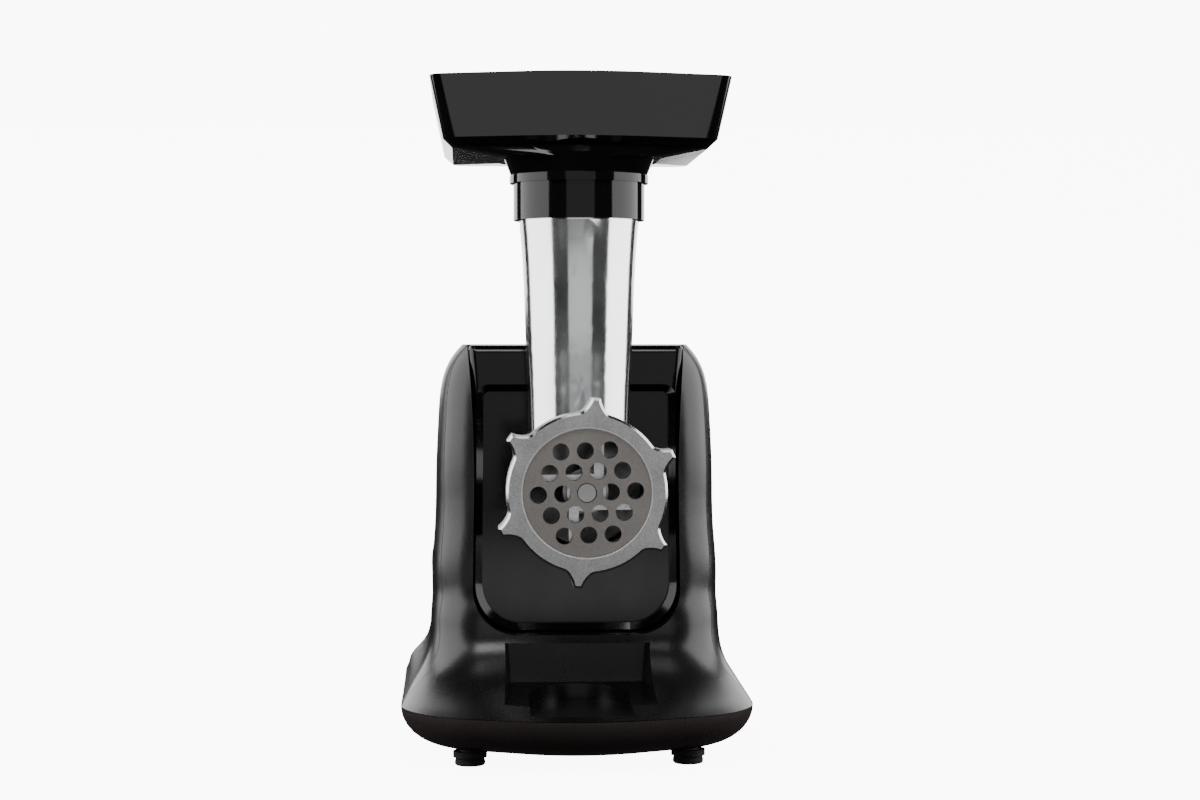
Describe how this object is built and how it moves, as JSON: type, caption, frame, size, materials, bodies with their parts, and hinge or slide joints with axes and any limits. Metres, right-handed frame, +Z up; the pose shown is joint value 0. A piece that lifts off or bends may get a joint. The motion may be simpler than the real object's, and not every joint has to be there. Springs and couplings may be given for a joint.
{
  "type": "electric meat grinder",
  "caption": "Black moulded counter-top meat grinder with a cast head, vertical feed tube, loading tray, perforated plate and lugged ring nut.",
  "frame": {"origin": "on the surface the feet stand on, under the middle of the machine's box", "axes": "+Z up along the feed tube, -Y out of the grinding plate, +X to the right of a person facing the plate"},
  "size_m": [0.1668, 0.245, 0.316],
  "materials": {
    "body_gloss": "glossy moulded",
    "black_satin": "satin moulded",
    "cast_aluminium": "polished casting",
    "nut_aluminium": "satin casting, bright edges",
    "plate_steel": "ground satin",
    "blade_steel": "ground",
    "bright_steel": "machined",
    "laminations": "lacquered stack",
    "winding": "enamelled copper wire",
    "bronze": "sintered bush",
    "gear_nylon": "nylon",
    "carbon": "pressed carbon",
    "foot_rubber": "moulded rubber",
    "gland_rubber": "moulded rubber",
    "capacitor": "resin"
  },
  "bodies": {
    "chassis": {"base_pan": "body_gloss", "front_shell": "body_gloss", "rear_shell": "body_gloss", "front_panel": "body_gloss", "head_socket": "black_satin", "gear_case": "black_satin", "gear_cover": "black_satin", "layshaft_1_spindle": "bright_steel", "layshaft_2_spindle": "bright_steel", "output_bush_front": "bronze", "output_bush_rear": "bronze", "stator_core": "laminations", "field_coil_upper": "winding", "field_coil_lower": "winding", "motor_bracket": "black_satin", "bearing_front": "bright_steel", "bearing_rear": "bright_steel", "brush_holder_left": "black_satin", "brush_holder_right": "black_satin", "brush_left": "carbon", "brush_right": "carbon", "brush_spring_left": "bright_steel", "brush_spring_right": "bright_steel", "base_screws": "bright_steel", "case_screws": "bright_steel", "motor_screws": "bright_steel", "foot_front_left": "foot_rubber", "foot_front_right": "foot_rubber", "foot_rear_left": "foot_rubber", "foot_rear_right": "foot_rubber", "switch_body": "black_satin", "reverse_switch": "black_satin", "suppressor": "capacitor", "cord_gland": "gland_rubber"},
    "rotor": {"motor_shaft": "bright_steel", "motor_pinion": "bright_steel", "rotor_core": "laminations", "rotor_windings": "winding", "commutator": "bronze", "cooling_fan": "black_satin"},
    "layshaft_1": {"layshaft_1_wheel": "gear_nylon", "layshaft_1_pinion": "bright_steel"},
    "layshaft_2": {"layshaft_2_wheel": "gear_nylon", "layshaft_2_pinion": "bright_steel"},
    "output_drive": {"output_gear": "gear_nylon", "drive_shaft": "bright_steel", "drive_coupler": "black_satin", "coupler_screw": "bright_steel", "feed_screw": "nut_aluminium", "thrust_washer": "bright_steel", "knife": "blade_steel"},
    "head": {"grinder_head": "cast_aluminium"},
    "tray": {"loading_tray": "body_gloss"},
    "plate": {"grinding_plate": "plate_steel"},
    "nut": {"ring_nut": "nut_aluminium"},
    "release_button": {"release_button": "black_satin", "release_spring": "bright_steel"},
    "power_rocker": {"power_rocker": "black_satin"},
    "reverse_button": {"reverse_button": "black_satin", "reverse_spring": "bright_steel"}
  },
  "joints": [
    {"name": "rotor_spin", "type": "hinge", "parent": "chassis", "child": "rotor", "pos_m": [-0.00013, 0, 0.07209], "axis": [0, 1, 0], "continuous": true},
    {"name": "layshaft_1_spin", "type": "hinge", "parent": "chassis", "child": "layshaft_1", "pos_m": [-0.02206, 0, 0.08705], "axis": [0, 1, 0], "continuous": true},
    {"name": "layshaft_2_spin", "type": "hinge", "parent": "chassis", "child": "layshaft_2", "pos_m": [0.01409, 0, 0.08964], "axis": [0, 1, 0], "continuous": true},
    {"name": "output_spin", "type": "hinge", "parent": "chassis", "child": "output_drive", "pos_m": [0, 0, 0.13], "axis": [0, 1, 0], "continuous": true},
    {"name": "head_turn", "type": "hinge", "parent": "chassis", "child": "head", "pos_m": [0, 0, 0.13], "axis": [0, 1, 0], "range_deg": [0, 25]},
    {"name": "tray_lift", "type": "slide", "parent": "head", "child": "tray", "axis": [0, 0, 1], "range_m": [0, 0.045]},
    {"name": "plate_out", "type": "slide", "parent": "head", "child": "plate", "axis": [0, -1, 0], "range_m": [0, 0.01]},
    {"name": "nut_turn", "type": "hinge", "parent": "plate", "child": "nut", "pos_m": [0, 0, 0.13], "axis": [0, 1, 0], "range_deg": [0, 900]},
    {"name": "release_press", "type": "slide", "parent": "chassis", "child": "release_button", "axis": [0, 1, 0], "range_m": [0, 0.005], "stiffness_N_per_m": 400, "springref_m": -0.003, "deforming": ["release_spring"]},
    {"name": "rocker_tilt", "type": "hinge", "parent": "chassis", "child": "power_rocker", "pos_m": [0.061, 0.035, 0.096], "axis": [0, 1, 0], "range_deg": [0, 12]},
    {"name": "reverse_press", "type": "slide", "parent": "chassis", "child": "reverse_button", "axis": [-1, 0, 0], "range_m": [0, 0.003], "stiffness_N_per_m": 400, "springref_m": -0.003, "deforming": ["reverse_spring"]}
  ],
  "couplings": [
    {"joint": "layshaft_1_spin", "follows": "rotor_spin", "ratio": -0.18},
    {"joint": "layshaft_2_spin", "follows": "rotor_spin", "ratio": 0.046957},
    {"joint": "output_spin", "follows": "rotor_spin", "ratio": -0.013874},
    {"joint": "plate_out", "follows": "nut_turn", "m_per_rad": 0.00063662}
  ]
}
